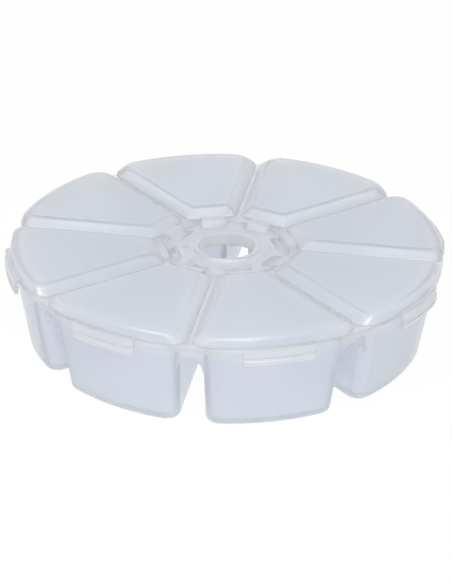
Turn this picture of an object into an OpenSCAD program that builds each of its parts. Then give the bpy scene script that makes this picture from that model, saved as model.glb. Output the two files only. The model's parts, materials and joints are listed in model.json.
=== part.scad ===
// Round parts organizer box: eight drafted cups hang from one flange, and eight wedge lids hinge at the hub.
// Millimetres, +Z up. The origin is on the box's axis, in the plane that the cups stand on.

/* [Tray] */
// Diameter of the flange that carries the cups
rim_d = 102.4; // [96:0.2:112]
// Height of the flange's upper face above the table
tray_h = 21.4; // [18:0.2:30]
// Thickness of the flange
flange_t = 1.4; // [1:0.1:1.8]
// How far the flange stands out past the cups' outer walls
flange_lip = 3; // [2:0.1:5]
// Clear gap between the side walls of neighbouring cups, measured at the flange
cup_gap = 5.1; // [4:0.1:6]
// Wall thickness of a cup
cup_wall = 1.2; // [0.8:0.1:1.4]
// Floor thickness of a cup
cup_floor = 1.2; // [0.8:0.1:2]
// How far a cup's outer wall leans in between the flange and the table
outer_draft = 0.9; // [0.3:0.1:1.5]
// How far each side wall and the inner end lean in over the same height
side_draft = 0.25; // [0.1:0.05:0.6]
// Radius of the upright corners on a cup's outer wall
cup_corner = 3.6; // [3:0.1:5]
// Radius of the upright corners at a cup's inner end
nose_corner = 2.2; // [2.1:0.1:2.4]
// Rounding of a cup's lower edge
foot_round = 1.5; // [0.8:0.1:1.8]
// Rounding round a cup's floor, inside
floor_round = 0.7; // [0.3:0.1:0.8]
// Thickness of the web that bridges each gap under the flange
web_t = 1.2; // [0.8:0.1:2]
// Height of the web between the flange and the top of its arch
web_drop = 3.1; // [2:0.1:5]
// Setback of the web behind the cups' outer walls
web_setback = 1; // [0.5:0.1:1.5]

/* [Hub] */
// Diameter of the hole through the hub
bore_d = 13.5; // [11:0.1:14.5]
// Height of the collar round the hole above the ring's face
collar_h = 0.6; // [0.3:0.1:1]
// Wall of that collar
collar_wall = 1.2; // [0.8:0.1:1.4]
// Thickness of the hinge ring
ring_t = 2; // [1.8:0.1:2.4]
// Wall of the ring outside the hinge bars
ring_edge = 0.7; // [0.5:0.1:1]
// Chamfer round the ring's edges
ring_chamfer = 0.3; // [0.1:0.05:0.4]
// Gap between the ring's edge and the recess that it lies in
ring_clear = 0.2; // [0.1:0.05:0.3]
// Thickness of the deck under the ring
deck_t = 1.2; // [0.8:0.1:2]
// Step between the hole in the ring and the wider hole in the deck
deck_step = 1.2; // [0.6:0.1:1.4]
// Diameter of the pegs that stake the ring to the deck
peg_d = 1.4; // [1:0.1:1.6]
// Diameter of a peg's flattened head under the deck
peg_head_d = 2.2; // [1.8:0.1:2.6]
// Thickness of that head
peg_head_t = 0.5; // [0.3:0.1:0.8]
// Gap round a peg in its hole
peg_clear = 0.1; // [0.05:0.05:0.15]

/* [Hinges] */
// Distance of a hinge bar from the box's axis
hinge_r = 13.4; // [13:0.1:14.5]
// Diameter of a hinge bar
bar_d = 1.3; // [1.1:0.1:1.4]
// Length of a hinge bar
bar_l = 8.8; // [8:0.1:9]
// Width of the arm that joins a bar to its lid
arm_w = 5.8; // [5:0.1:6]
// Running gap between a bar and its groove
bar_clear = 0.05; // [0.03:0.01:0.08]
// Gap beside and behind the arm, and at the ends of the bar
arm_clear = 0.2; // [0.15:0.05:0.25]
// Overhang of a lid's inner edge past its hinge bar, which lands on the ring when the lid is fully open
heel = 1.05; // [1.05:0.05:1.5]

/* [Lids] */
// Gap between neighbouring lids
lid_gap = 1; // [0.8:0.1:2]
// Gap between a closed lid and the flange
lid_seat = 0.2; // [0.15:0.05:0.3]
// Height of a lid, from its lower edge to its raised panel
lid_h = 2.4; // [2:0.1:3]
// Thickness of a lid
lid_t = 1; // [0.8:0.1:1.2]
// Height of the upright band round a lid, below its bevels
lid_band = 0.6; // [0.4:0.1:0.8]
// Width of the bevels beside the raised panel and at its inner end
lid_bevel = 2.4; // [1.5:0.1:3]
// Width of the rounded edge along the rim
lid_crown = 0.9; // [0.6:0.1:1.4]
// Corner radius of a lid on the rim
lid_corner = 3; // [2:0.1:4]
// Corner radius of a lid at the hub
lid_nose = 1.4; // [1.3:0.1:1.8]

/* [Latch tabs] */
// Width of a thumb tab
tab_w = 16.4; // [12:0.2:20]
// Thickness of a tab
tab_t = 0.7; // [0.6:0.1:1]
// How far a tab hangs below the flange
tab_drop = 2.3; // [1.8:0.1:3]
// Gap between a tab and the flange's edge
tab_clear = 0.4; // [0.35:0.05:0.5]
// Radius of the latch bead inside a tab
bead_r = 0.25; // [0.15:0.05:0.3]
// Height of the grip ridges on a tab
ridge_r = 0.2; // [0.1:0.05:0.3]
// Spacing of the grip ridges
ridge_pitch = 1.15; // [0.8:0.05:1.4]
// Rounding of a tab's outer edges
tab_round = 0.3; // [0.2:0.05:0.3]

/* [Hidden] */

$fn = 48;
// Number of cups, each with its own lid and its own node
cups = 8;
// Overlap that makes fused shapes share a volume and cuts run clear of a face
bite = 0.1;
// Steps along a cup's or lid's outer arc, round an outer corner and round an inner corner
arc_steps = 12;
corner_steps = 6;
nose_steps = 3;
// Angles of a quarter round, as rings of a loft
round_angles = [0, 30, 60, 90];
frosted = [0.84, 0.87, 0.91];

// One cup's share of the circle, and half of it
pitch = 360 / cups;
half = pitch / 2;

rim_r = rim_d / 2;
flange_z = tray_h - flange_t;
cup_r = rim_r - flange_lip;

// Hub heights and radii, from the hinge outwards and inwards
bore_r = bore_d / 2;
bar_r = bar_d / 2;
groove_r = bar_r + bar_clear;
ring_r = hinge_r + groove_r + ring_edge;
recess_r = ring_r + ring_clear;
deck_z = tray_h - ring_t;
bar_z = deck_z + groove_r;
deck_hole_r = bore_r + deck_step;

// Lid heights, and the chord of its inner edge
lid_z = tray_h + lid_seat;
band_z = lid_z + lid_band;
lid_top = lid_z + lid_h;
lid_in = hinge_r + heel;

// The window in the ring gives the arm room behind the bar as the lid swings up
notch_r = hinge_r - norm([heel, lid_z - bar_z]) - arm_clear;
notch_w = arm_w + 2 * arm_clear;
peg_ring_r = (deck_hole_r + notch_r) / 2;

// Tab heights and radii
tab_in = rim_r + tab_clear;
tab_face = tab_in + tab_t;
tab_z = flange_z - tab_drop;

// Points along an arc about c, from one angle to another
function arc(c, r, from, to, steps) =
    [for (i = [0:steps]) let (a = from + (to - from) * i / steps) c + r * [cos(a), sin(a)]];

function flipped(p) = [p.x, -p.y];

// Outline of one wedge about +X: its sides lie side from the planes between neighbours, its outer edge is an arc of
// radius outer and its inner edge a chord at inner, with rounded corners
function wedge(side, outer, inner, corner, nose) =
    let (
        turn = half - asin((side + corner) / (outer - corner)),
        corner_c = (outer - corner) * [cos(turn), sin(turn)],
        nose_c = [inner + nose, (inner + nose) * tan(half) - (side + nose) / cos(half)]
    )
    concat(
        arc(corner_c, corner, turn, 90 + half, corner_steps),
        arc(nose_c, nose, 90 + half, 180, nose_steps),
        arc(flipped(nose_c), nose, 180, 270 - half, nose_steps),
        arc(flipped(corner_c), corner, 270 - half, 360 - turn, corner_steps),
        [for (i = [1:arc_steps - 1]) let (a = turn * (2 * i / arc_steps - 1)) outer * [cos(a), sin(a)]]
    );

function at_height(outline, z) = [for (p = outline) [p.x, p.y, z]];

// Skin over closed rings of equal length, the lowest first
module loft(rings) {
    n = len(rings[0]);
    last = (len(rings) - 1) * n;
    walls = [for (k = [0:n:last - n], i = [0:n - 1]) let (j = (i + 1) % n)
        each [[k + i, k + n + i, k + n + j], [k + i, k + n + j, k + j]]];
    floor_face = [for (i = [0:n - 1]) i];
    top_face = [for (i = [n - 1:-1:0]) last + i];
    polyhedron([for (ring = rings) each ring], concat([floor_face], walls, [top_face]));
}

// One turn of the pattern about the box's axis
module each_cup(turn = 0) {
    for (k = [1:cups]) rotate((k - 0.5) * pitch + turn) children();
}

// Ring of a cup at height z, set in from its outer face, with the draft of that height
function cup_ring(z, inset) =
    let (lean = 1 - z / tray_h)
    at_height(wedge(
        cup_gap / 2 + side_draft * lean + inset,
        cup_r - outer_draft * lean - inset,
        recess_r + side_draft * lean + inset,
        cup_corner - inset,
        nose_corner - inset), z);

module cup_outside() {
    foot = [for (a = round_angles) cup_ring(foot_round * (1 - cos(a)), foot_round * (1 - sin(a)))];
    loft(concat(foot, [cup_ring(tray_h - flange_t / 2, 0)]));
}

module cup_inside() {
    floor_rings = [for (a = round_angles)
        cup_ring(cup_floor + floor_round * (1 - cos(a)), cup_wall + floor_round * (1 - sin(a)))];
    loft(concat(floor_rings, [cup_ring(tray_h + bite, cup_wall)]));
}

// Web across one gap, with an arched lower edge
module gap_web() {
    arch_r = cup_gap / 2 + side_draft;
    arch_z = flange_z - web_drop - arch_r;
    width = cup_gap + 2 * cup_corner;
    face_r = cup_r - web_setback;
    difference() {
        translate([face_r - web_t, -width / 2, arch_z]) cube([web_t, width, tray_h - flange_t / 2 - arch_z]);
        translate([face_r - web_t / 2, 0, arch_z])
            rotate([0, 90, 0]) cylinder(r = arch_r, h = web_t + 2 * bite, center = true);
    }
}

module cup_tray() {
    color(frosted) difference() {
        union() {
            translate([0, 0, flange_z]) cylinder(r = rim_r, h = flange_t, $fn = 12 * cups);
            translate([0, 0, deck_z - deck_t])
                cylinder(r = recess_r + cup_wall, h = deck_t + ring_t - flange_t / 2, $fn = 12 * cups);
            each_cup() cup_outside();
            each_cup(half) gap_web();
        }
        each_cup() cup_inside();
        translate([0, 0, deck_z]) cylinder(r = recess_r, h = ring_t + bite, $fn = 12 * cups);
        translate([0, 0, deck_z - deck_t - bite]) cylinder(r = deck_hole_r, h = deck_t + 2 * bite);
        each_cup(half) translate([peg_ring_r, 0, deck_z - deck_t - bite])
            cylinder(d = peg_d + 2 * peg_clear, h = deck_t + 2 * bite, $fn = 24);
    }
}

// Half section of the ring, with its collar
module ring_section() {
    collar_z = tray_h + collar_h;
    collar_r = bore_r + collar_wall;
    polygon([
        [bore_r, deck_z],
        [ring_r, deck_z],
        [ring_r, tray_h - ring_chamfer],
        [ring_r - ring_chamfer, tray_h],
        [collar_r, tray_h],
        [collar_r, collar_z - ring_chamfer],
        [collar_r - ring_chamfer, collar_z],
        [bore_r + ring_chamfer, collar_z],
        [bore_r, collar_z - ring_chamfer]
    ]);
}

// Groove that opens downwards and closes over a hinge bar
module bar_groove() {
    groove_l = bar_l + 2 * arm_clear;
    translate([hinge_r, 0, bar_z]) {
        rotate([90, 0, 0]) cylinder(r = groove_r, h = groove_l, center = true);
        translate([-groove_r, -groove_l / 2, -ring_t]) cube([2 * groove_r, groove_l, ring_t]);
    }
}

module arm_window() {
    translate([notch_r, -notch_w / 2, deck_z - bite]) cube([ring_r, notch_w, ring_t + 2 * bite]);
}

module stake_peg() {
    translate([peg_ring_r, 0, deck_z - deck_t]) cylinder(d = peg_d, h = deck_t + bite);
    translate([peg_ring_r, 0, deck_z - deck_t - peg_head_t]) cylinder(d = peg_head_d, h = peg_head_t);
}

module hinge_ring() {
    color(frosted) {
        difference() {
            rotate_extrude() ring_section();
            each_cup() {
                arm_window();
                bar_groove();
            }
        }
        each_cup(half) stake_peg();
    }
}

// Ring of a lid's outer face, where the bevel and the rounded rim have run in by these amounts
function lid_ring(z, bevel, crown) =
    at_height(wedge(lid_gap / 2 + bevel, rim_r - crown, lid_in + bevel, lid_corner, lid_nose), z);

// Ring of a lid's underside
function lid_inner_ring(z, inset, crown) =
    at_height(wedge(
        lid_gap / 2 + inset, rim_r - crown - lid_t, lid_in + inset, lid_corner - lid_t / 2, lid_nose - lid_t / 2), z);

module lid_shell() {
    rise = lid_top - band_z;
    difference() {
        loft(concat(
            [lid_ring(lid_z, 0, 0)],
            [for (a = round_angles) lid_ring(band_z + rise * sin(a), lid_bevel * sin(a), lid_crown * (1 - cos(a)))]));
        loft([
            lid_inner_ring(lid_z - bite, lid_t, 0),
            lid_inner_ring(lid_z + lid_band / 2, lid_t, 0),
            lid_inner_ring(lid_top - lid_t, lid_bevel + lid_t / 2, lid_crown)]);
    }
}

// Section of the thumb tab, from the lid's band down past the flange, with its bead and grip ridges
module tab_section() {
    bead_z = flange_z - 2 * bead_r;
    ridge_z = tab_z + ridge_pitch;
    polygon(concat(
        [[tab_in, tab_z]],
        arc([tab_face - tab_round, tab_z + tab_round], tab_round, -90, 0, corner_steps),
        arc([tab_face - tab_round, band_z - tab_round], tab_round, 0, 90, corner_steps),
        [[rim_r - lid_t / 2, band_z], [rim_r - lid_t / 2, lid_z], [tab_in, lid_z]]
    ));
    translate([tab_in, bead_z]) circle(r = bead_r);
    for (k = [0, 1]) translate([tab_face, ridge_z + k * ridge_pitch]) circle(r = ridge_r);
}

module thumb_tab() {
    spread = asin(tab_w / 2 / tab_face);
    rotate(-spread) rotate_extrude(angle = 2 * spread, $fn = 120) tab_section();
}

// Arm from the lid's inner edge down to the bar, inside the ring's window
module hinge_arm() {
    rotate([90, 0, 0]) linear_extrude(arm_w, center = true) polygon([
        [hinge_r - bar_r, bar_z],
        [hinge_r + bar_r * cos(45), bar_z - bar_r * sin(45)],
        [recess_r - ring_clear - bite, lid_z + bite],
        [lid_in + lid_t / 2, band_z],
        [lid_in, band_z]
    ]);
    translate([hinge_r, 0, bar_z]) rotate([90, 0, 0]) cylinder(r = bar_r, h = bar_l, center = true);
}

// Lid number k, counted from the cup next to +X
module lid(k) {
    color(frosted) rotate((k - 0.5) * pitch) {
        lid_shell();
        thumb_tab();
        hinge_arm();
    }
}

cup_tray();
hinge_ring();
for (k = [1:cups]) {
    lid(k);
}
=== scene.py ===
"""Looks of a round parts organizer box: a tray of eight cups, a hinge ring at the hub and eight wedge lids.

Sizes are millimetres, and a mesh is scaled to metres as it is finished. Every piece is one closed wall: its
surfaces are numpy grids that Boolean modifiers join and cut, so that light passes through the frosted plastic
as through real walls.
"""

import json
import logging
import math
from collections.abc import Callable, Iterable, Sequence
from dataclasses import dataclass
from enum import Enum

import bpy
import numpy as np
from mathutils import Matrix, Quaternion, Vector


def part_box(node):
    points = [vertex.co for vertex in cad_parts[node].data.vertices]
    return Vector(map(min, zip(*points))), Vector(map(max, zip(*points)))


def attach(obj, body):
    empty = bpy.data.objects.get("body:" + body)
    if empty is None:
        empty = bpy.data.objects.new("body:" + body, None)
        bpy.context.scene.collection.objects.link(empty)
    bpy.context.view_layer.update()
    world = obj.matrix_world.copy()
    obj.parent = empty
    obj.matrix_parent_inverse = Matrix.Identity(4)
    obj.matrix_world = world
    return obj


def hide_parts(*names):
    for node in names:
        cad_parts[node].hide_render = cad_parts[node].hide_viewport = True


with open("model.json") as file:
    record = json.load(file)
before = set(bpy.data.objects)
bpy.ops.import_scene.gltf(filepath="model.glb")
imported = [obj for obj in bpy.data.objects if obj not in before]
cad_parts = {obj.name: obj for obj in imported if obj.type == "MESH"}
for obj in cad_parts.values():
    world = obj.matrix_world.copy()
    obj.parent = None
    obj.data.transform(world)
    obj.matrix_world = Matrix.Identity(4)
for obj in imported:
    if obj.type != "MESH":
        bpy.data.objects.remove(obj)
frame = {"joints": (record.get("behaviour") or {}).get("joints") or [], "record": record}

LOG = logging.getLogger("parts_box")
MM = 0.001
CUPS = 8
PITCH = 360 / CUPS
HALF = math.radians(PITCH / 2)
QUARTER = math.pi / 2
SHARP_EDGE = math.radians(34)


class Slot(Enum):
    """Material slots of the record."""

    TRAY = "tray"
    HUB = "hub"
    LIDS = "lids"


class Carve(Enum):
    """Ways in which one closed surface changes another."""

    JOIN = "UNION"
    CUT = "DIFFERENCE"


# Closed surfaces


@dataclass(frozen=True)
class Shell:
    """A closed surface in millimetres.

    Attributes:
        points: Corner points, one row each.
        quads: Four-sided faces, as rows of point numbers.
        caps: Faces with any number of corners.
    """

    points: np.ndarray
    quads: np.ndarray
    caps: tuple[np.ndarray, ...] = ()

    def volume(self) -> float:
        """Signed volume: a sixth of the sum of a . (b x c) over a fan of triangles on every face."""
        fans = [self.quads[:, [0, 1, 2]], self.quads[:, [0, 2, 3]]]
        for cap in self.caps:
            fans.append(np.stack([np.full(len(cap) - 2, cap[0]), cap[1:-1], cap[2:]], axis=1))
        a, b, c = np.moveaxis(self.points[np.concatenate(fans)], 1, 0)
        return float(np.einsum("ij,ij->", a, np.cross(b, c))) / 6

    def outward(self) -> "Shell":
        """The same surface with every face turned to point out of the solid."""
        if self.volume() > 0:
            return self
        return Shell(self.points, self.quads[:, ::-1], tuple(cap[::-1] for cap in self.caps))

    def ringed(self, first: float) -> "Shell":
        """One copy for each cup, turned about the box's axis.

        Args:
            first: Angle of the first copy in degrees.

        Returns:
            All copies as one surface of separate shells.
        """
        angles = np.radians(first + PITCH * np.arange(CUPS))
        cos, sin, zero = np.cos(angles), np.sin(angles), np.zeros(CUPS)
        turns = np.stack([cos, -sin, zero, sin, cos, zero, zero, zero, zero + 1], axis=1).reshape(CUPS, 3, 3)
        points = np.einsum("kij,nj->kni", turns, self.points).reshape(-1, 3)
        starts = len(self.points) * np.arange(CUPS)
        quads = (starts[:, None, None] + self.quads).reshape(-1, 4)
        return Shell(points, quads, tuple(start + cap for start in starts for cap in self.caps))

    def work_object(self, name: str) -> bpy.types.Object:
        """A scene object, in millimetres, that holds this surface.

        Args:
            name: Name of the object and its mesh.

        Returns:
            The object, linked to the scene.
        """
        mesh = bpy.data.meshes.new(name)
        faces = self.quads.tolist() + [cap.tolist() for cap in self.caps]
        mesh.from_pydata(self.points.tolist(), [], faces)
        made = bpy.data.objects.new(name, mesh)
        bpy.context.scene.collection.objects.link(made)
        return made


def arc(centre: Sequence[float], radius: float, start: float, stop: float, steps: int) -> np.ndarray:
    """Points along an arc: centre + radius (cos a, sin a) as a runs from start to stop.

    Args:
        centre: Centre of the arc.
        radius: Radius of the arc.
        start: First angle in degrees.
        stop: Last angle in degrees.
        steps: Number of chords.

    Returns:
        Points as rows of two numbers.
    """
    angle = np.radians(np.linspace(start, stop, steps + 1))
    return np.asarray(centre) + radius * np.stack([np.cos(angle), np.sin(angle)], axis=1)


def rounded_outline(corners: Sequence[tuple[float, float, float]], steps: int = 6) -> np.ndarray:
    """A closed outline with an arc at each corner.

    An arc touches both edges at radius / tan(half the corner's angle) from the corner, and its centre lies on
    the corner's bisector at radius / sin(half that angle).

    Args:
        corners: Corners in order, each with its rounding radius as a third number.
        steps: Number of chords in an arc.

    Returns:
        Points as rows of two numbers.
    """
    rows = np.asarray(corners, float)
    place, radius = rows[:, :2], rows[:, 2:]
    back, ahead = np.roll(place, 1, axis=0) - place, np.roll(place, -1, axis=0) - place
    back = back / np.linalg.norm(back, axis=1, keepdims=True)
    ahead = ahead / np.linalg.norm(ahead, axis=1, keepdims=True)
    bisector = back + ahead
    bisector = bisector / np.linalg.norm(bisector, axis=1, keepdims=True)
    half = np.arccos(np.clip((back * ahead).sum(axis=1, keepdims=True), -1, 1)) / 2
    centre = place + bisector * radius / np.sin(half)
    start = place + back * radius / np.tan(half) - centre
    side = np.sign(back[:, :1] * ahead[:, 1:] - back[:, 1:] * ahead[:, :1])
    turn = -side * (math.pi - 2 * half) * np.linspace(0, 1, steps + 1)
    angle = np.arctan2(start[:, 1:], start[:, :1]) + turn
    arcs = centre[:, None] + radius[:, None] * np.stack([np.cos(angle), np.sin(angle)], axis=2)
    return arcs.reshape(-1, 2)


def skin(rings: np.ndarray, wrapped: bool = False) -> Shell:
    """Closed surface over a grid of points: each ring is closed, and joined to the next by a band of quads.

    Args:
        rings: Points with the ring first and the place along it second.
        wrapped: True if the last ring joins the first; otherwise both get a flat cap.

    Returns:
        The surface, facing outwards.
    """
    count, size = rings.shape[:2]
    number = np.arange(count * size).reshape(count, size)
    lower = number if wrapped else number[:-1]
    upper = np.roll(number, -1, axis=0) if wrapped else number[1:]
    quads = np.stack([lower, np.roll(lower, -1, axis=1), np.roll(upper, -1, axis=1), upper], axis=2)
    caps = () if wrapped else (number[0, ::-1], number[-1])
    return Shell(rings.reshape(-1, 3), quads.reshape(-1, 4), caps).outward()


def revolve(section: np.ndarray, steps: int) -> Shell:
    """Solid of revolution: a closed section (r, z) carried round the box's axis to (r cos a, r sin a, z).

    Args:
        section: Points of the section.
        steps: Number of steps round the axis.

    Returns:
        The closed surface.
    """
    angle = np.linspace(0, 2 * math.pi, steps, endpoint=False)[:, None]
    radius, height = section.T
    rings = np.stack([radius * np.cos(angle), radius * np.sin(angle), height + 0 * angle], axis=2)
    return skin(rings, wrapped=True)


def lathe(profile: np.ndarray, centre: Sequence[float], steps: int = 32) -> Shell:
    """Rod about an upright line: each profile point (r, z) becomes a circle, and the end circles are capped.

    Args:
        profile: Radius and height from one end to the other.
        centre: Where the line stands.
        steps: Number of points in a circle.

    Returns:
        The closed surface.
    """
    angle = np.linspace(0, 2 * math.pi, steps, endpoint=False)
    radius, height = profile[:, :1], profile[:, 1:]
    across, along = centre[0] + radius * np.cos(angle), centre[1] + radius * np.sin(angle)
    return skin(np.stack([across, along, height + 0 * angle], axis=2))


def extrude(section: np.ndarray, width: float, edge: float = 0, steps: int = 4) -> Shell:
    """Prism of a section (x, z) along Y, with rounded ends.

    Near an end the section shrinks about its middle by edge (1 - cos a) while y runs out by edge sin a.

    Args:
        section: Points of the section.
        width: Length along Y, centred on the X axis.
        edge: Rounding of the two ends.
        steps: Number of chords in the rounding.

    Returns:
        The closed surface.
    """
    angle = np.linspace(0, QUARTER, steps + 1) if edge else np.zeros(1)
    run = width / 2 - edge * (1 - np.sin(angle))
    middle = section.mean(axis=0)
    reach = np.linalg.norm(section - middle, axis=1).mean()
    share = 1 - edge * (1 - np.cos(angle)) / reach
    run, share = np.concatenate([-run[::-1], run]), np.concatenate([share[::-1], share])
    flat = middle + share[:, None, None] * (section - middle)
    return skin(np.stack([flat[..., 0], run[:, None] + 0 * flat[..., 0], flat[..., 1]], axis=2))


@dataclass(frozen=True)
class WedgeRings:
    """Outlines of a wedge about +X, one for each height, as the rings of a loft.

    The two sides lie side from the planes between neighbouring wedges, the outer edge is an arc about the box's
    axis and the inner edge a chord. An outer corner's centre lies at radius outer - corner, turned back from the
    plane between neighbours by asin((side + corner) / (outer - corner)). An inner corner's centre lies nose from
    chord and side.

    Attributes:
        side: Distance of the sides from the planes between neighbours.
        outer: Radius of the outer edge.
        inner: Distance of the chord from the box's axis.
        corner: Radius of the outer corners.
        nose: Radius of the inner corners.
        height: Height of each ring.
        arc_steps: Chords along the outer edge.
        corner_steps: Chords round an outer corner.
        nose_steps: Chords round an inner corner.
    """

    side: np.ndarray
    outer: np.ndarray
    inner: np.ndarray
    corner: np.ndarray
    nose: np.ndarray
    height: np.ndarray
    arc_steps: int = 40
    corner_steps: int = 12
    nose_steps: int = 8

    def rings(self) -> np.ndarray:
        """Points of all outlines, anticlockwise from the start of the upper outer corner.

        Returns:
            Points with the ring first and the place along it second.
        """
        fields = (self.side, self.outer, self.inner, self.corner, self.nose, self.height)
        side, outer, inner, corner, nose, height = (column[:, None] for column in np.broadcast_arrays(*fields))
        turn = HALF - np.arcsin((side + corner) / (outer - corner))
        corner_x, corner_y = (outer - corner) * np.cos(turn), (outer - corner) * np.sin(turn)
        nose_x = inner + nose
        nose_y = nose_x * math.tan(HALF) - (side + nose) / math.cos(HALF)
        flank = QUARTER + HALF
        runs = (
            (corner_x, corner_y, corner, turn, flank, np.linspace(0, 1, self.corner_steps + 1)),
            (nose_x, nose_y, nose, flank, math.pi, np.linspace(0, 1, self.nose_steps + 1)),
            (nose_x, -nose_y, nose, math.pi, 2 * math.pi - flank, np.linspace(0, 1, self.nose_steps + 1)),
            (corner_x, -corner_y, corner, 2 * math.pi - flank, 2 * math.pi - turn,
             np.linspace(0, 1, self.corner_steps + 1)),
            (0, 0, outer, -turn, turn, np.linspace(0, 1, self.arc_steps + 1)[1:-1]),
        )
        angles = [start + (stop - start) * share for *_, start, stop, share in runs]
        across = np.concatenate([x + r * np.cos(a) for (x, _, r, *_), a in zip(runs, angles)], axis=1)
        along = np.concatenate([y + r * np.sin(a) for (_, y, r, *_), a in zip(runs, angles)], axis=1)
        return np.stack([across, along, height + 0 * across], axis=2)


class Workpiece:
    """A solid that is joined and cut step by step."""

    def __init__(self, stock: Shell) -> None:
        """Starts from a closed surface.

        Args:
            stock: The surface to work on.
        """
        self.stock = stock
        self.steps: list[tuple[Carve, Shell]] = []

    def carve(self, way: Carve, *tools: Shell) -> "Workpiece":
        """Adds steps that join or cut.

        Args:
            way: What the tools do.
            tools: Closed surfaces, used in order.

        Returns:
            The workpiece itself.
        """
        self.steps.extend((way, tool) for tool in tools)
        return self

    def mesh(self, name: str) -> bpy.types.Mesh:
        """Runs the steps as Boolean modifiers, rounds off the shading and scales the result to metres.

        Args:
            name: Name of the mesh.

        Returns:
            The finished mesh.
        """
        body = self.stock.work_object("stock")
        tools = [tool.work_object("tool") for _, tool in self.steps]
        for (way, _), tool in zip(self.steps, tools):
            step = body.modifiers.new(way.name, "BOOLEAN")
            step.operation, step.solver, step.object = way.value, "MANIFOLD", tool
        bpy.context.view_layer.update()
        made = bpy.data.meshes.new_from_object(body.evaluated_get(bpy.context.evaluated_depsgraph_get()))
        for spent in [body, *tools]:
            bpy.data.meshes.remove(spent.data)
        made.name = name
        made.materials.clear()
        made.polygons.foreach_set("material_index", np.zeros(len(made.polygons), np.int32))
        made.transform(Matrix.Scale(MM, 4))
        made.shade_smooth()
        made.set_sharp_from_angle(angle=SHARP_EDGE)
        return made


# Shader building


class Wire:
    """A shader value whose arithmetic adds Math nodes."""

    def __init__(self, bench: "Bench", socket: bpy.types.NodeSocket) -> None:
        """Wraps an output socket of a bench's node tree."""
        self.bench = bench
        self.socket = socket

    def _math(self, operation: str, first: "Wire | float", second: "Wire | float") -> "Wire":
        """One Math node on two values."""
        return self.bench.wire("ShaderNodeMath", {"operation": operation}, {0: first, 1: second})

    def __add__(self, other: "Wire | float") -> "Wire":
        """Sum."""
        return self._math("ADD", self, other)

    def __sub__(self, other: "Wire | float") -> "Wire":
        """Difference."""
        return self._math("SUBTRACT", self, other)

    def __rsub__(self, other: float) -> "Wire":
        """Difference from a number."""
        return self._math("SUBTRACT", other, self)

    def __mul__(self, other: "Wire | float") -> "Wire":
        """Product."""
        return self._math("MULTIPLY", self, other)

    def __pow__(self, other: "Wire | float") -> "Wire":
        """Power."""
        return self._math("POWER", self, other)

    def highest(self, other: "Wire | float") -> "Wire":
        """The larger of two values."""
        return self._math("MAXIMUM", self, other)

    def lowest(self, other: "Wire | float") -> "Wire":
        """The smaller of two values."""
        return self._math("MINIMUM", self, other)

    __radd__ = __add__
    __rmul__ = __mul__


class Bench:
    """The node tree of one material or world."""

    def __init__(self, owner: bpy.types.Material | bpy.types.World) -> None:
        """Empties the owner's node tree.

        Args:
            owner: What the nodes are for.
        """
        owner.use_nodes = True
        self.tree = owner.node_tree
        self.tree.nodes.clear()

    def node(self, kind: str, settings: dict | None = None, sockets: dict | None = None) -> bpy.types.Node:
        """Adds a node.

        Args:
            kind: Type of the node.
            settings: The node's own settings, which are set first.
            sockets: Values or wires of its inputs, by name or number.

        Returns:
            The new node.
        """
        node = self.tree.nodes.new(kind)
        for name, value in (settings or {}).items():
            setattr(node, name, value)
        for key, value in (sockets or {}).items():
            if isinstance(value, Wire):
                self.tree.links.new(value.socket, node.inputs[key])
            else:
                node.inputs[key].default_value = value
        return node

    def wire(
        self, kind: str, settings: dict | None = None, sockets: dict | None = None, output: int | str = 0
    ) -> Wire:
        """Adds a node and hands on one of its outputs.

        Args:
            kind: Type of the node.
            settings: The node's own settings.
            sockets: Values or wires of its inputs.
            output: Name or number of the output.

        Returns:
            The output as a wire.
        """
        return Wire(self, self.node(kind, settings, sockets).outputs[output])

    def noise(self, scale: float, detail: float) -> Wire:
        """Cloudy noise over the piece.

        Args:
            scale: Clouds in a metre.
            detail: Number of finer layers.

        Returns:
            A value about one half.
        """
        place = self.wire("ShaderNodeTexCoord", output="Object")
        return self.wire("ShaderNodeTexNoise", {}, {"Vector": place, "Scale": scale, "Detail": detail}, "Fac")

    def spot(self) -> tuple[Wire, Wire, Wire]:
        """Place of the shaded point in millimetres, as x, y and z."""
        place = self.wire("ShaderNodeTexCoord", output="Object")
        split = self.node("ShaderNodeSeparateXYZ", {}, {0: place})
        x, y, z = (Wire(self, output) * (1 / MM) for output in split.outputs)
        return x, y, z

    def radius_and_height(self) -> tuple[Wire, Wire]:
        """Distance from the box's axis, sqrt(x^2 + y^2), and height, both in millimetres."""
        x, y, z = self.spot()
        return (x * x + y * y) ** 0.5, z

    def side_distance(self, radius: Wire) -> Wire:
        """Distance in millimetres from the nearest plane between neighbours: radius sin a.

        The angle a, atan2(y, x) folded to and fro at half a cup's share, is nought on those planes.

        Args:
            radius: Distance from the box's axis.

        Returns:
            The distance.
        """
        x, y, _ = self.spot()
        turn = self.wire("ShaderNodeMath", {"operation": "ARCTAN2"}, {0: y, 1: x})
        fold = self.wire("ShaderNodeMath", {"operation": "PINGPONG"}, {0: turn, 1: HALF})
        return radius * self.wire("ShaderNodeMath", {"operation": "SINE"}, {0: fold})


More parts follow.
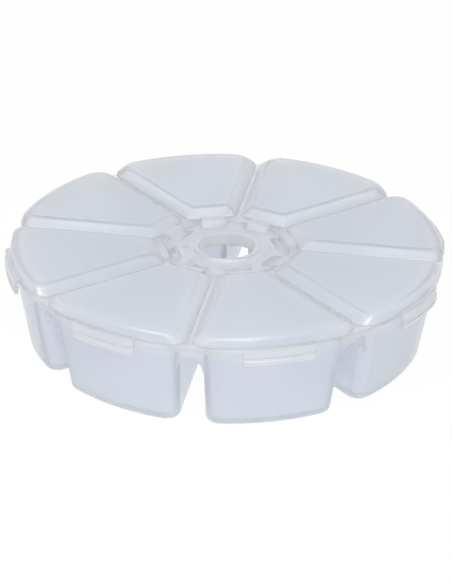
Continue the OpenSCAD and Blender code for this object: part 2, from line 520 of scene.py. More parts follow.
@dataclass(frozen=True)
class FrostedPlastic:
    """Natural polypropylene with a frosted face, and a painted glow: a whitening towards the thick edges of a
    piece that stands in for light scattered in the thicker plastic.

    Attributes:
        name: Name of the material.
        clear: Colour of the thin walls.
        painted_edge_glow: Painted glow colour along the thick edges, standing in for light scattered there.
        fade: How far in millimetres the painted glow reaches in from an edge.
        passing: Share of the light that goes through a face.
        haze: Share that is scattered on its way through.
        roughness: Mean roughness of the face.
        gloss: Weight of the thin gloss over it.
        gloss_roughness: Roughness of that gloss.
        ior: Index of refraction.
        flow_scale: Clouds of flow in a metre.
        grain_scale: Grains in a metre.
        grain_depth: Depth of the grain in metres.
    """

    name: str
    clear: tuple[float, float, float]
    painted_edge_glow: tuple[float, float, float]
    fade: float
    passing: float
    haze: float
    roughness: float
    gloss: float
    gloss_roughness: float = 0.05
    ior: float = 1.49
    flow_scale: float = 70
    grain_scale: float = 2600
    grain_depth: float = 0.00004

    def material(self, depth: Callable[[Bench], Wire]) -> bpy.types.Material:
        """Builds the material.

        The share of painted glow, a whitening that stands in for light scattered in thick plastic, falls from
        one at an edge to nought at fade behind it, on a smooth step, with clouds of flow.

        Args:
            depth: Gives how far a point lies behind the piece's glowing edges in millimetres, which sets where
                the glow is painted.

        Returns:
            The material, with a fine grain in its roughness and face.
        """
        made = bpy.data.materials.new(self.name)
        bench = Bench(made)
        flow, grain = (bench.noise(scale, detail=2) for scale in (self.flow_scale, self.grain_scale))
        # Painted glow mask: whitens the colour towards thick edges, in place of light scattered there.
        edge = bench.wire("ShaderNodeMapRange", {"interpolation_type": "SMOOTHSTEP"}, {
            "Value": depth(bench), "From Min": 0, "From Max": self.fade, "To Min": 1, "To Max": 0})
        colour = bench.wire("ShaderNodeMix", {"data_type": "RGBA"}, {
            0: edge * (0.8 + 0.2 * flow) + 0.12 * flow, 6: (*self.clear, 1), 7: (*self.painted_edge_glow, 1)}, 2)
        face = bench.wire("ShaderNodeBump", {}, {
            "Strength": 0.12, "Distance": self.grain_depth, "Height": grain})
        wall = bench.wire("ShaderNodeBsdfPrincipled", {}, {
            "Base Color": colour,
            "Roughness": self.roughness - 0.05 + 0.1 * grain,
            "Normal": face,
            "IOR": self.ior,
            "Transmission Weight": self.passing,
            "Coat Weight": self.gloss,
            "Coat Roughness": self.gloss_roughness,
        })
        cloud = bench.wire("ShaderNodeBsdfTranslucent", {}, {"Color": colour, "Normal": face})
        shader = bench.wire("ShaderNodeMixShader", {}, {0: self.haze, 1: wall, 2: cloud})
        bench.node("ShaderNodeOutputMaterial", {}, {"Surface": shader})
        return made


# Pieces of the box


@dataclass(frozen=True)
class BoxSizes:
    """Sizes that the pieces share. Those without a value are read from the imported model.

    Attributes:
        rim_r: Radius of the flange.
        tray_h: Height of the flange's upper face.
        lid_top: Height of the lids' raised panels.
        hinge_r: Distance of a hinge bar from the box's axis.
        bar_z: Height of the hinge bars.
        bore_r: Radius of the hole through the hub.
        bar_r: Radius of a hinge bar.
        bar_l: Length of a hinge bar.
        arm_w: Width of the arm between a bar and its lid.
        heel: Overhang of a lid past its hinge bar.
        lid_seat: Gap between a closed lid and the flange.
        flange_t: Thickness of the flange.
        ring_t: Thickness of the hinge ring.
        recess_r: Radius of the recess that the hinge ring lies in.
        deck_hole_r: Radius of the hole in the deck under it.
        deck_t: Thickness of that deck.
        peg_r: Radius of the pegs that stake the ring to the deck.
        arm_clear: Gap round an arm, and at the ends of a bar.
        fit: Gap that keeps resting faces of two pieces apart.
    """

    rim_r: float
    tray_h: float
    lid_top: float
    hinge_r: float
    bar_z: float
    bore_r: float
    bar_r: float = 0.65
    bar_l: float = 8.8
    arm_w: float = 5.8
    heel: float = 1.05
    lid_seat: float = 0.2
    flange_t: float = 1.4
    ring_t: float = 2
    recess_r: float = 15
    deck_hole_r: float = 7.95
    deck_t: float = 1.2
    peg_r: float = 0.7
    arm_clear: float = 0.2
    fit: float = 0.02

    @classmethod
    def from_frame(cls) -> "BoxSizes":
        """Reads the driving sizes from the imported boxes, the first hinge and the hub's mount.

        Returns:
            The sizes.
        """
        tray_top, lid_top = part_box("cup_tray")[1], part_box("lid_1")[1]
        hinge = frame["joints"][0]["pos_m"]
        bore = next(mount for mount in frame["record"]["mounts"] if mount["kind"] == "bore")
        return cls(
            rim_r=tray_top.x / MM,
            tray_h=tray_top.z / MM,
            lid_top=lid_top.z / MM,
            hinge_r=math.hypot(hinge[0], hinge[1]) / MM,
            bar_z=hinge[2] / MM,
            bore_r=bore["dims"]["r_mm"],
        )

    @property
    def flange_z(self) -> float:
        """Height of the flange's lower face."""
        return self.tray_h - self.flange_t

    @property
    def deck_z(self) -> float:
        """Height of the deck's upper face."""
        return self.tray_h - self.ring_t

    @property
    def lid_z(self) -> float:
        """Height of a closed lid's lower edge."""
        return self.tray_h + self.lid_seat

    @property
    def notch_r(self) -> float:
        """Inner end of an arm's window: clear of the lid's heel as it swings about the bar."""
        return self.hinge_r - math.hypot(self.heel, self.lid_z - self.bar_z) - self.arm_clear

    @property
    def peg_ring_r(self) -> float:
        """Distance of the pegs from the box's axis, midway between the deck's hole and the windows."""
        return (self.deck_hole_r + self.notch_r) / 2


@dataclass(frozen=True)
class Piece:
    """What every piece of the box has.

    Attributes:
        sizes: Sizes that the pieces share.
        finish: The plastic that it is moulded in.
    """

    sizes: BoxSizes
    finish: FrostedPlastic

    def painted_glow_depth(self, bench: Bench) -> Wire:
        """How far a point lies behind the edges that get the painted glow, in millimetres.

        Args:
            bench: Where the nodes go.

        Returns:
            The depth, nought or less on the edges.
        """
        raise NotImplementedError

    def place(self, name: str, mesh: bpy.types.Mesh, node: str, body: str, slot: Slot) -> bpy.types.Object:
        """Puts a finished mesh into the scene in the place of a CAD node.

        Args:
            name: Name of the piece.
            mesh: Its mesh, in metres and in place.
            node: The CAD node that it stands for.
            body: The body that it rides on.
            slot: Its material slot in the record; not used.

        Returns:
            The new object.
        """
        made = bpy.data.objects.new(name, mesh)
        bpy.context.scene.collection.objects.link(made)
        flats = made.modifiers.new("flat faces", "WEIGHTED_NORMAL")
        flats.keep_sharp = True
        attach(made, body)
        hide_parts(node)
        LOG.info("%s: %d faces, rides on %s", name, len(mesh.polygons), body)
        return made


@dataclass(frozen=True)
class CupTray(Piece):
    """Tray of eight drafted cups that hang from one flange, with webs across the gaps and a recessed hub deck.

    Attributes:
        flange_lip: How far the flange stands out past the cups.
        cup_gap: Gap between neighbouring cups at the flange.
        wall: Thickness of a cup's wall.
        floor: Thickness of a cup's floor.
        outer_draft: Lean of a cup's outer wall over its height.
        side_draft: Lean of its other walls.
        corner: Radius of a cup's outer corners.
        nose: Radius of its inner corners.
        foot_round: Rounding of its lower edge.
        floor_round: Rounding round its floor, inside.
        root_round: Rounding where its walls meet the flange.
        lip_round: Rounding of its mouth.
        rim_round: Rounding of the flange's edge.
        web_t: Thickness of a web.
        web_drop: Height of a web above its arch.
        web_setback: Setback of a web behind the cups' outer walls.
    """

    flange_lip: float = 0.5
    cup_gap: float = 5.2
    wall: float = 1.2
    floor: float = 1.2
    outer_draft: float = 3.6
    side_draft: float = 0.25
    corner: float = 3.3
    nose: float = 2.6
    foot_round: float = 1.5
    floor_round: float = 0.9
    root_round: float = 0.3
    lip_round: float = 0.3
    rim_round: float = 0.45
    web_t: float = 1.2
    web_drop: float = 3.1
    web_setback: float = 2.2

    def cup_loft(self, inset: np.ndarray, height: np.ndarray) -> Shell:
        """Loft of one cup's face.

        A ring at height z leans in by its draft times 1 - z / tray height, and lies inset behind that. A
        negative inset, the flare under the flange, leaves the end at the hub as it is.

        Args:
            inset: Inset of each ring.
            height: Height of each ring.

        Returns:
            The closed surface about +X.
        """
        lean = 1 - height / self.sizes.tray_h
        return skin(WedgeRings(
            side=self.cup_gap / 2 + self.side_draft * lean + inset,
            outer=self.sizes.rim_r - self.flange_lip - self.outer_draft * lean - inset,
            inner=self.sizes.recess_r + self.side_draft * lean + np.maximum(inset, 0),
            corner=self.corner - inset,
            nose=self.nose - np.maximum(inset, 0),
            height=height,
        ).rings())

    def cup_face(self, inset: float, bottom: float, low_round: float, top: float, flare: float) -> Shell:
        """One cup's outer or inner face, rounded below and flared above.

        The lower edge is a quarter round: inset r (1 - sin a), height r (1 - cos a). The flare at the top is
        another: inset -r (1 - cos b), height r sin b.

        Args:
            inset: Distance of the face behind the cup's outer face.
            bottom: Height of its lowest point.
            low_round: Radius of its lower edge.
            top: Height at which the flare ends.
            flare: Radius of the flare.

        Returns:
            The closed surface about +X.
        """
        turn = np.linspace(0, QUARTER, 8)
        overrun = self.sizes.flange_t / 2
        insets = np.concatenate([low_round * (1 - np.sin(turn)), -flare * (1 - np.cos(turn)), [-flare]])
        heights = np.concatenate([
            bottom + low_round * (1 - np.cos(turn)), top - flare + flare * np.sin(turn), [top + overrun]])
        return self.cup_loft(inset + insets, heights)

    def hub_and_flange(self) -> Shell:
        """Flange, hub wall and deck as one section carried round the box's axis."""
        s = self.sizes
        hub_r, deck_low = s.recess_r + self.wall, s.deck_z - s.deck_t
        edge = 0.25
        return revolve(rounded_outline([
            (s.rim_r, s.flange_z, self.rim_round),
            (s.rim_r, s.tray_h, self.rim_round),
            (s.recess_r, s.tray_h, edge),
            (s.recess_r, s.deck_z, edge),
            (s.deck_hole_r, s.deck_z, edge),
            (s.deck_hole_r, deck_low, edge),
            (hub_r, deck_low, edge),
            (hub_r, s.flange_z, self.root_round),
        ]), steps=240)

    def gap_web(self) -> Shell:
        """Web across one gap: a block with a rounded lower edge that follows an arch.

        The lower edge's height over y is the arch's foot, plus sqrt(arch radius^2 - y^2) inside the arch.

        Returns:
            The closed surface about +X.
        """
        edge = 0.35
        arch_r = self.cup_gap / 2 + self.side_draft
        arch_z = self.sizes.flange_z - self.web_drop - arch_r
        reach = self.cup_gap / 2 + self.corner
        face_r = self.sizes.rim_r - self.flange_lip - self.web_setback
        turn = np.linspace(0, math.pi, 33)
        along = np.concatenate([[-reach], -arch_r * np.cos(turn), [reach]])
        low = arch_z + np.concatenate([[0], arch_r * np.sin(turn), [0]])
        foot = np.concatenate([
            arc((face_r - self.web_t + edge, edge), edge, 180, 270, 5),
            arc((face_r - edge, edge), edge, 270, 360, 5)])
        across = np.concatenate([foot[:, 0], [face_r, face_r - self.web_t]])
        top = np.full((len(low), 2), self.sizes.tray_h - self.sizes.flange_t / 2)
        height = np.concatenate([low[:, None] + foot[:, 1], top], axis=1)
        return skin(np.stack([across + 0 * height, along[:, None] + 0 * height, height], axis=2))

    def painted_glow_depth(self, bench: Bench) -> Wire:
        """Depth below the flange, so that the flange gets the painted glow that stands in for light scattered in
        the plastic.

        Args:
            bench: Where the nodes go.

        Returns:
            The depth, below nought on the flange.
        """
        _, height = bench.radius_and_height()
        return self.sizes.flange_z - height

    def peg_hole(self) -> Shell:
        """Hole in the deck for one of the ring's pegs."""
        s = self.sizes
        radius = s.peg_r + s.arm_clear / 2
        profile = np.array([(radius, s.deck_z - 2 * s.deck_t), (radius, s.deck_z + s.deck_t)])
        return lathe(profile, (s.peg_ring_r, 0))

    def build(self) -> bpy.types.Object:
        """Joins cups and webs to the flange, and cuts the cups' insides and the peg holes.

        Returns:
            The finished tray.
        """
        s = self.sizes
        outside = self.cup_face(0, 0, self.foot_round, s.flange_z, self.root_round)
        inside = self.cup_face(self.wall, self.floor, self.floor_round, s.tray_h, self.lip_round)
        first_cup = PITCH / 2
        mesh = (
            Workpiece(self.hub_and_flange())
            .carve(Carve.JOIN, outside.ringed(first_cup), self.gap_web().ringed(0))
            .carve(Carve.CUT, inside.ringed(first_cup), self.peg_hole().ringed(0))
            .mesh("frosted_tray"))
        mesh.materials.append(self.finish.material(self.painted_glow_depth))
        return self.place("frosted_tray", mesh, "cup_tray", "tray", Slot.TRAY)


@dataclass(frozen=True)
class HingeRing(Piece):
    """Flat ring round the hub's hole, with a collar, windows for the lids' arms and grooves over their bars.

    Attributes:
        collar_h: Height of the collar.
        collar_wall: Wall of the collar.
        edge: Rounding of the upper edges.
        ring_clear: Gap between the ring's edge and its recess.
        bar_clear: Gap between a bar and its groove.
        head_r: Radius of a peg's flattened head.
        head_t: Thickness of that head.
    """

    collar_h: float = 0.6
    collar_wall: float = 1.2
    edge: float = 0.3
    ring_clear: float = 0.2
    bar_clear: float = 0.05
    head_r: float = 1.1
    head_t: float = 0.5

    def painted_glow_depth(self, bench: Bench) -> Wire:
        """Depth behind the collar and inside the ring of windows, which get the painted glow that stands in for
        light scattered in the plastic.

        Args:
            bench: Where the nodes go.

        Returns:
            The depth, below nought on the collar and round the windows.
        """
        radius, _ = bench.radius_and_height()
        return (radius - self.sizes.bore_r - self.collar_wall).lowest(self.sizes.notch_r - radius)

    def ring(self) -> Shell:
        """Section of the ring and its collar, carried round the box's axis."""
        s = self.sizes
        low, ring_r = s.deck_z + s.fit, s.recess_r - self.ring_clear
        collar_r, collar_z = s.bore_r + self.collar_wall, s.tray_h + self.collar_h
        small = self.edge / 2
        return revolve(rounded_outline([
            (s.bore_r, low, small),
            (ring_r, low, small),
            (ring_r, s.tray_h, self.edge),
            (collar_r, s.tray_h, small),
            (collar_r, collar_z, self.edge),
            (s.bore_r, collar_z, self.edge),
        ]), steps=192)

    def window(self) -> Shell:
        """Cutter for one arm's window: a slot with round inner corners whose mouth flares by a quarter round.

        Returns:
            The closed surface about +X.
        """
        s = self.sizes
        corner, flare = 0.6, 0.25
        turn = np.linspace(0, QUARTER, 6)
        spread = np.concatenate([[0], flare * (1 - np.cos(turn)), [flare]])[:, None]
        height = np.concatenate([
            [s.deck_z - s.ring_t], s.tray_h - flare + flare * np.sin(turn), [s.tray_h + s.ring_t]])[:, None]
        reach = s.arm_w / 2 + s.arm_clear
        bend = arc((s.notch_r + corner, reach - corner), corner, 90, 180, 8)
        out = bend - (s.notch_r + corner, reach - corner)
        half_x = np.concatenate([[s.recess_r + s.ring_t], bend[:, 0]])
        half_y = np.concatenate([[reach], bend[:, 1]])
        push_x, push_y = (np.concatenate([[first], column / corner]) for first, column in zip((0, 1), out.T))
        across = half_x + spread * push_x
        along = half_y + spread * push_y
        across = np.concatenate([across, across[:, ::-1]], axis=1)
        along = np.concatenate([along, -along[:, ::-1]], axis=1)
        return skin(np.stack([across, along, height + 0 * across], axis=2))

    def bar_groove(self) -> Shell:
        """Cutter for the groove over one bar: round above, open below."""
        s = self.sizes
        radius = s.bar_r + self.bar_clear
        low = s.deck_z - s.ring_t
        roof = arc((s.hinge_r, s.bar_z), radius, 0, 180, 16)
        section = np.concatenate([roof, [(s.hinge_r - radius, low), (s.hinge_r + radius, low)]])
        return extrude(section, s.bar_l + 2 * s.arm_clear)

    def stake_peg(self) -> Shell:
        """Peg that runs through the deck to a flattened head below it."""
        s = self.sizes
        head_top = s.deck_z - s.deck_t - s.fit
        head_low = head_top - self.head_t
        edge = 0.15
        low_edge = arc((self.head_r - edge, head_low + edge), edge, -90, 0, 4)
        high_edge = arc((self.head_r - edge, head_top - edge), edge, 0, 90, 4)
        stem = [(s.peg_r, head_top), (s.peg_r, s.deck_z + s.ring_t / 4)]
        return lathe(np.concatenate([low_edge, high_edge, stem]), (s.peg_ring_r, 0))

    def build(self) -> bpy.types.Object:
        """Cuts windows and grooves into the ring, and adds its pegs.

        Returns:
            The finished ring.
        """
        first_cup = PITCH / 2
        mesh = (
            Workpiece(self.ring())
            .carve(Carve.CUT, self.window().ringed(first_cup), self.bar_groove().ringed(first_cup))
            .carve(Carve.JOIN, self.stake_peg().ringed(0))
            .mesh("frosted_hinge_ring"))
        mesh.materials.append(self.finish.material(self.painted_glow_depth))
        return self.place("frosted_hinge_ring", mesh, "hinge_ring", "tray", Slot.HUB)


@dataclass(frozen=True)
class WedgeLid(Piece):
    """Wedge lid with a raised panel, a thumb tab with a latch bead, and a hinge arm and bar.

    Attributes:
        gap: Gap between neighbouring lids.
        thick: Thickness of the lid.
        band: Height of the upright band below the bevels.
        bevel: Width of the bevels beside the panel.
        crown: Width of the rounded edge along the rim.
        corner: Corner radius on the rim.
        nose: Corner radius at the hub.
        tongue: Length of the tongue that joins the lid to its hinge.
        edge: Rounding of the lower edges.
        band_round: Rounding between band and bevel.
        panel_round: Rounding between bevel and panel.
        tab_w: Width of the thumb tab.
        tab_t: Thickness of the tab.
        tab_drop: How far it hangs below the flange.
        tab_clear: Gap between the tab and the flange.
        tab_round: Rounding of the tab's edges.
        tab_corner: Rounding of its lower corners.
        bead_r: Height of the latch bead.
        ridge_r: Height of the grip ridges.
        ridge_pitch: Spacing of the grip ridges.
    """

    gap: float = 1
    thick: float = 1
    band: float = 0.6
    bevel: float = 2.4
    crown: float = 0.9
    corner: float = 3
    nose: float = 1.4
    tongue: float = 1.8
    edge: float = 0.2
    band_round: float = 0.45
    panel_round: float = 3
    tab_w: float = 16.4
    tab_t: float = 0.7
    tab_drop: float = 2.3
    tab_clear: float = 0.4
    tab_round: float = 0.3
    tab_corner: float = 1
    bead_r: float = 0.25
    ridge_r: float = 0.2
    ridge_pitch: float = 1.15

    @property
    def inner(self) -> float:
        """Distance of the lid's inner edge from the box's axis."""
        return self.sizes.hinge_r + self.sizes.heel + self.tongue

    @property
    def band_z(self) -> float:
        """Height of the top of the upright band."""
        return self.sizes.lid_z + self.band

    def painted_glow_depth(self, bench: Bench) -> Wire:
        """Depth behind the panel's frame, where flange and cup walls lie close below, and above the tab: these
        get the painted glow, which stands in for light scattered in the lid and the plastic below it.

        The frame runs along both sides, the hub and the rim. It keeps half the painted glow, while the tab and
        the band get all of it.

        Args:
            bench: Where the nodes go.

        Returns:
            The depth, below nought on the tab and the band.
        """
        radius, height = bench.radius_and_height()
        side = bench.side_distance(radius) - self.bevel
        hub, rim = radius - self.inner - self.bevel, self.sizes.rim_r - 2 * self.crown - radius
        border = side.lowest(hub).lowest(rim).highest(self.finish.fade / 2)
        return border.lowest(4 * (height - self.band_z))

    def outer_face(self) -> Shell:
        """Loft of the outside, from the lower edge over band and bevel to the panel.

        The bevel's profile (inset, height) is an outline with rounded corners. On the rim the inset at height z
        is an ellipse instead: crown (1 - sqrt(1 - s^2)), where s is the share of the rise above the band.

        Returns:
            The closed surface about +X.
        """
        s = self.sizes
        steps = 7
        outline = rounded_outline([
            (0, s.lid_z, self.edge),
            (0, self.band_z, self.band_round),
            (self.bevel, s.lid_top, self.panel_round),
            (2 * self.bevel, s.lid_top, 0),
            (2 * self.bevel, s.lid_z, 0),
        ], steps)
        bevel, height = outline[:3 * (steps + 1)].T
        share = np.clip((height - self.band_z) / (s.lid_top - self.band_z), 0, 1)
        below = np.where(height < s.lid_z + self.band / 2, bevel, 0)
        crown = self.crown * (1 - np.sqrt(1 - share**2)) + below
        return skin(WedgeRings(
            side=self.gap / 2 + bevel,
            outer=s.rim_r - crown,
            inner=self.inner + bevel,
            corner=self.corner,
            nose=self.nose,
            height=height,
        ).rings())

    def underside(self) -> Shell:
        """Cutter for the hollow under the lid: upright behind the band, then leaning in below bevel and crown.

        Returns:
            The closed surface about +X.
        """
        s = self.sizes
        foot_z, roof_z = s.lid_z + self.band / 2, s.lid_top - self.thick
        roof_inset = self.bevel + self.thick / 2
        lip = arc((self.thick - self.edge, s.lid_z + self.edge), self.edge, -90, 0, 5)
        start = [(self.thick - self.edge, s.lid_z - self.band)]
        steps = 6
        roof = rounded_outline([
            (self.thick, s.lid_z + self.edge, 0),
            (self.thick, foot_z, self.band_round),
            (roof_inset, roof_z, self.band_round),
            (2 * roof_inset, roof_z, 0),
        ], steps)
        inset, height = np.concatenate([start, lip, roof[steps + 1:3 * (steps + 1)]]).T
        crown = self.crown * np.clip((height - foot_z) / (roof_z - foot_z), 0, 1)
        return skin(WedgeRings(
            side=self.gap / 2 + inset,
            outer=s.rim_r - np.minimum(inset, self.thick) - crown,
            inner=self.inner + inset,
            corner=self.corner - self.thick / 2,
            nose=self.nose - self.thick / 2,
            height=height,
        ).rings())

    def thumb_tab(self) -> Shell:
        """Thumb tab: a section carried along the rim, with rounded ends and lower corners.

        A ridge or bead is a raised cosine on a face: r (1 + cos(pi d / w)) / 2 for a height d from its middle.
        Towards an end, the part outside the flange's edge thins by a quarter round and the lower corners rise
        by another.

        Returns:
            The closed surface about +X.
        """
        s = self.sizes
        back, low = s.rim_r + self.tab_clear, s.flange_z - self.tab_drop
        face = back + self.tab_t
        root, foot_z, edge = s.rim_r - self.thick / 2, s.lid_z + s.fit, self.tab_round
        fillet = 0.3

        def swell(height: np.ndarray, middle: float, reach: float, rise: float) -> np.ndarray:
            """Raised cosine across a ridge or bead."""
            away = np.clip(np.abs(height - middle) / reach, 0, 1)
            return rise * (1 + np.cos(math.pi * away)) / 2

        up = np.linspace(low + edge, foot_z, 36)
        down = np.linspace(self.band_z - edge, low + edge, 60)
        bead = swell(up, s.flange_z - 2 * self.bead_r, 1.6 * self.bead_r, self.bead_r)
        ridges = sum(swell(down, low + k * self.ridge_pitch, 2 * self.ridge_r, self.ridge_r) for k in (1, 2))
        parts = (
            np.stack([back - bead, up], axis=1),
            [(root, foot_z), (root, self.band_z + fillet)],
            arc((s.rim_r + fillet, self.band_z + fillet), fillet, 180, 270, 5),
            arc((face - edge, self.band_z - edge), edge, 90, 0, 6),
            np.stack([face + ridges, down], axis=1)[1:-1],
            arc((face - edge, low + edge), edge, 0, -90, 6),
            arc((back + edge, low + edge), edge, -90, -180, 6)[:-1],
        )
        radius, height = np.concatenate(parts).T
        spread = math.asin(self.tab_w / 2 / face)
        bend = self.tab_corner * (1 - np.cos(np.linspace(0, QUARTER, 10))) / face
        angle = np.concatenate([bend - spread, np.linspace(bend[-1] - spread, spread - bend[-1], 41)[1:-1],
                                (spread - bend)[::-1]])[:, None]
        away = face * (spread - np.abs(angle))
        thin = np.sqrt(1 - (1 - np.clip((away + edge / 4) / edge, 0, 1)) ** 2)
        lift = self.tab_corner - np.sqrt(self.tab_corner**2 - np.clip(self.tab_corner - away, 0, None) ** 2)
        radius = np.where(radius > back, back + (radius - back) * thin, radius)
        hang = np.clip((foot_z - height) / (foot_z - low), 0, 1)
        height = height + hang * lift
        return skin(np.stack([radius * np.cos(angle), radius * np.sin(angle), height], axis=2))

    def hinge_arm(self) -> Shell:
        """Tongue from the lid's inner edge and arm down to the bar, extruded across the window."""
        s = self.sizes
        lean = s.bar_r * math.cos(math.radians(45))
        section = rounded_outline([
            (s.hinge_r - s.bar_r, s.bar_z, 0.1),
            (s.hinge_r + lean, s.bar_z - lean, 0.1),
            (s.recess_r - 1.5 * s.arm_clear, s.lid_z + s.arm_clear / 2, 0.3),
            (self.inner + self.thick / 2, s.lid_z + s.arm_clear / 2, 0.05),
            (self.inner + self.thick / 2, self.band_z, 0.05),
            (s.hinge_r + s.heel, self.band_z, 0.2),
        ])
        return extrude(section, s.arm_w, edge=self.edge)

    def hinge_bar(self) -> Shell:
        """Bar with rounded ends, lying across the arm's foot."""
        s = self.sizes
        turn = np.linspace(0, 2 * math.pi, 32, endpoint=False)
        section = np.stack([s.hinge_r + s.bar_r * np.cos(turn), s.bar_z + s.bar_r * np.sin(turn)], axis=1)
        return extrude(section, s.bar_l, edge=self.edge)

    def build(self) -> list[bpy.types.Object]:
        """Makes one lid, and a turned copy of it over each cup.

        Returns:
            The finished lids.
        """
        first = (
            Workpiece(self.outer_face())
            .carve(Carve.CUT, self.underside())
            .carve(Carve.JOIN, self.thumb_tab(), self.hinge_arm(), self.hinge_bar())
            .mesh("frosted_lid"))
        first.materials.append(self.finish.material(self.painted_glow_depth))
        lids = []
        for number in range(1, CUPS + 1):
            mesh = first.copy()
            mesh.transform(Matrix.Rotation(math.radians((number - 0.5) * PITCH), 4, "Z"))
            lids.append(self.place(f"frosted_lid_{number}", mesh, f"lid_{number}", f"lid_{number}", Slot.LIDS))
        bpy.data.meshes.remove(first)
        return lids


# Stage


@dataclass(frozen=True)
class SoftLamp:
    """A square soft box aimed at the object.

    Attributes:
        name: Name of the lamp.
        place: Where it stands, in metres.
        size: Length of its side in metres.
        power: Its power in watts.
    """

    name: str
    place: tuple[float, float, float]
    size: float
    power: float

    def build(self, aim: Vector) -> bpy.types.Object:
        """Makes the lamp.

        Args:
            aim: Point that it faces.

        Returns:
            The lamp.
        """
        light = bpy.data.lights.new(self.name, "AREA")
        light.shape, light.size, light.energy = "SQUARE", self.size, self.power
        made = bpy.data.objects.new(self.name, light)
        made.location = self.place
        made.rotation_mode = "QUATERNION"
        made.rotation_quaternion = (aim - Vector(self.place)).to_track_quat("-Z", "Y")
        bpy.context.scene.collection.objects.link(made)
        return made


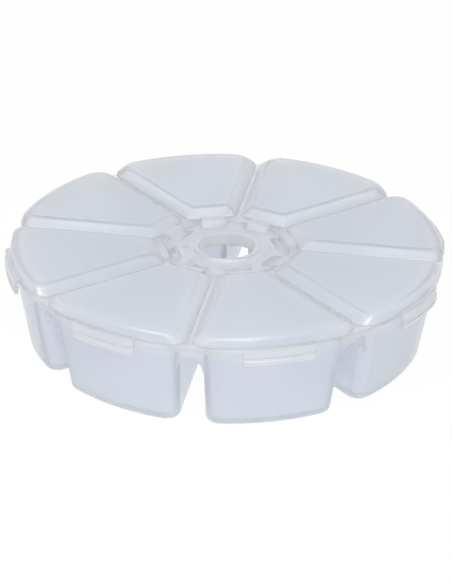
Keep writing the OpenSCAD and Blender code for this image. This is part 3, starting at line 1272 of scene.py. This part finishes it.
@dataclass(frozen=True)
class Studio:
    """White floor, soft light and the photograph's viewpoint.

    Attributes:
        aim_z: Height in millimetres of the point on the box's axis that the camera looks at.
        azimuth: Turn of the camera about the box in degrees.
        elevation: Height of the camera above the horizon in degrees.
        roll: Tilt of the camera about its line of sight in degrees.
        distance: Distance of the camera from that point in millimetres.
        lens: Focal length in millimetres for a sensor of 36 mm on the long side.
        floor_size: Side of the floor in metres.
        glow: Share of plain white in what the camera sees of the floor.
        fill: Strength of the light that comes from all round.
        lamps: Soft boxes.
    """

    aim_z: float = 9.58
    azimuth: float = 9.06
    elevation: float = 26.87
    roll: float = 0.96
    distance: float = 506.5
    lens: float = 130
    floor_size: float = 12
    glow: float = 0.95
    fill: float = 0.6
    lamps: tuple[SoftLamp, ...] = (
        SoftLamp("key_box", (-0.2, -0.23, 0.46), 0.18, 0.72),
        SoftLamp("front_box", (0.12, -0.36, 0.18), 0.24, 0.4),
        SoftLamp("rim_box", (0.06, -0.25, 0.47), 0.18, 0.72),
        SoftLamp("top_box", (-0.2, -0.2, 1.2), 0.8, 0.6),
    )

    @staticmethod
    def seen_directly(bench: Bench) -> Wire:
        """One for rays of the camera, of gloss and through glass, and nought for the rest."""
        path = bench.node("ShaderNodeLightPath")
        names = ("Is Camera Ray", "Is Glossy Ray", "Is Transmission Ray")
        camera, gloss, glass = (Wire(bench, path.outputs[name]) for name in names)
        return camera.highest(gloss).highest(glass)

    def floor(self) -> bpy.types.Object:
        """White floor just below the feet, which still takes a faint shadow.

        Returns:
            The floor.
        """
        material = bpy.data.materials.new("white_floor")
        bench = Bench(material)
        lit = bench.wire("ShaderNodeBsdfDiffuse", {}, {"Color": (0.9, 0.9, 0.9, 1)})
        white = bench.wire("ShaderNodeEmission", {}, {"Color": (1, 1, 1, 1), "Strength": 1})
        mixed = bench.wire(
            "ShaderNodeMixShader", {}, {"Fac": self.seen_directly(bench) * self.glow, 1: lit, 2: white})
        bench.node("ShaderNodeOutputMaterial", {}, {"Surface": mixed})
        material.cycles.emission_sampling = "NONE"
        reach, low = self.floor_size / 2, -0.00005
        mesh = bpy.data.meshes.new("white_floor")
        signs = ((-1, -1), (1, -1), (1, 1), (-1, 1))
        mesh.from_pydata([(x * reach, y * reach, low) for x, y in signs], [], [(0, 1, 2, 3)])
        mesh.materials.append(material)
        made = bpy.data.objects.new("white_floor", mesh)
        bpy.context.scene.collection.objects.link(made)
        return made

    def sky(self) -> None:
        """White all round: plain white to the eye, and an even fill of light."""
        world = bpy.data.worlds.new("white_room")
        bench = Bench(world)
        strength = self.fill + (1 - self.fill) * self.seen_directly(bench)
        light = bench.wire("ShaderNodeBackground", {}, {"Color": (1, 1, 1, 1), "Strength": strength})
        bench.node("ShaderNodeOutputWorld", {}, {"Surface": light})
        bpy.context.scene.world = world

    def camera(self) -> bpy.types.Object:
        """Camera at the photograph's viewpoint.

        Returns:
            The camera, set as the scene's own.
        """
        turn, rise = math.radians(self.azimuth), math.radians(self.elevation)
        back = Vector((math.sin(turn) * math.cos(rise), -math.cos(turn) * math.cos(rise), math.sin(rise)))
        data = bpy.data.cameras.new("photo_view")
        data.sensor_width, data.lens = 36, self.lens
        data.clip_start, data.clip_end = 0.01, 50
        made = bpy.data.objects.new("photo_view", data)
        made.location = Vector((0, 0, self.aim_z * MM)) + back * self.distance * MM
        made.rotation_mode = "QUATERNION"
        level = (-back).to_track_quat("-Z", "Y")
        made.rotation_quaternion = level @ Quaternion((0, 0, 1), math.radians(self.roll))
        bpy.context.scene.collection.objects.link(made)
        bpy.context.scene.camera = made
        return made

    def build(self) -> None:
        """Makes floor, light and camera, and sets a plain view transform and paths for many thin walls."""
        bpy.context.scene.view_settings.view_transform = "Standard"
        paths = bpy.context.scene.cycles
        paths.max_bounces = paths.transmission_bounces = 48
        paths.diffuse_bounces = paths.glossy_bounces = 32
        paths.blur_glossy = 0
        paths.sample_clamp_indirect = 1
        self.camera()
        self.floor()
        self.sky()
        for lamp in self.lamps:
            lamp.build(Vector((0, 0, self.aim_z * MM)))


def corners(box: Iterable[Vector]) -> list[list[float]]:
    """Lowest and highest corner as plain lists."""
    return [list(corner) for corner in box]


def main() -> None:
    """Builds the stage and the box's pieces."""
    logging.basicConfig(level=logging.INFO, format="%(name)s: %(message)s")
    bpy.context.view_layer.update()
    sizes = BoxSizes.from_frame()
    # Painted glow colour of the thick edges, a whitening in place of light scattered in the plastic.
    painted_edge_glow = (0.975, 0.98, 0.99)
    tray_plastic = FrostedPlastic(
        "tray_plastic", (0.905, 0.93, 0.97), painted_edge_glow, fade=3, passing=0.85, haze=0.25, roughness=0.36, gloss=0.8)
    hub_plastic = FrostedPlastic(
        "hub_plastic", (0.9, 0.916, 0.945), painted_edge_glow, fade=0.8, passing=0.9, haze=0.25, roughness=0.36, gloss=1)
    lid_plastic = FrostedPlastic(
        "lid_plastic", (0.885, 0.914, 0.956), painted_edge_glow, fade=2.6, passing=0.9, haze=0.22, roughness=0.36, gloss=1)
    Studio().build()
    CupTray(sizes, tray_plastic).build()
    HingeRing(sizes, hub_plastic).build()
    WedgeLid(sizes, lid_plastic).build()


if __name__ == "__main__":
    main()
